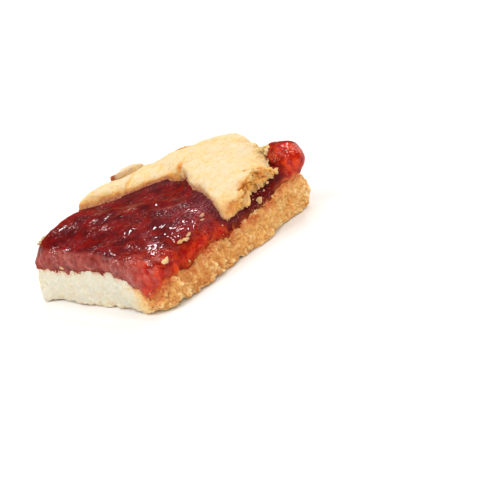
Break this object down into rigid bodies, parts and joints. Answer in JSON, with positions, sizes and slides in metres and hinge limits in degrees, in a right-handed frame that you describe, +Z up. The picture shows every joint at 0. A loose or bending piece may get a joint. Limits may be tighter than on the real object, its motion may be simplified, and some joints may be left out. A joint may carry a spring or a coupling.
{
  "type": "jam lattice tart square",
  "caption": "Cut square of baked tart: a thick shortcrust base, a layer of red fruit jam and crossing strips of pale pastry on top.",
  "frame": {"origin": "middle of the bounding box's underside, on the surface that the square rests on", "axes": "+Z up; +Y along the square's length, from the cut front face towards the rounded baked rim; +X towards the right cut face"},
  "size_m": [0.0504, 0.0746, 0.0253],
  "materials": {
    "shortcrust": "matte, crumbly",
    "lattice_pastry": "matte, finely cracked, browned at the edges",
    "jam": "wet gloss, lumpy"
  },
  "bodies": {
    "root": {"pastry_base": "shortcrust", "jam_layer": "jam", "lattice_strip_long": "lattice_pastry", "lattice_strip_wide": "lattice_pastry", "lattice_sliver": "lattice_pastry"}
  },
  "joints": []
}
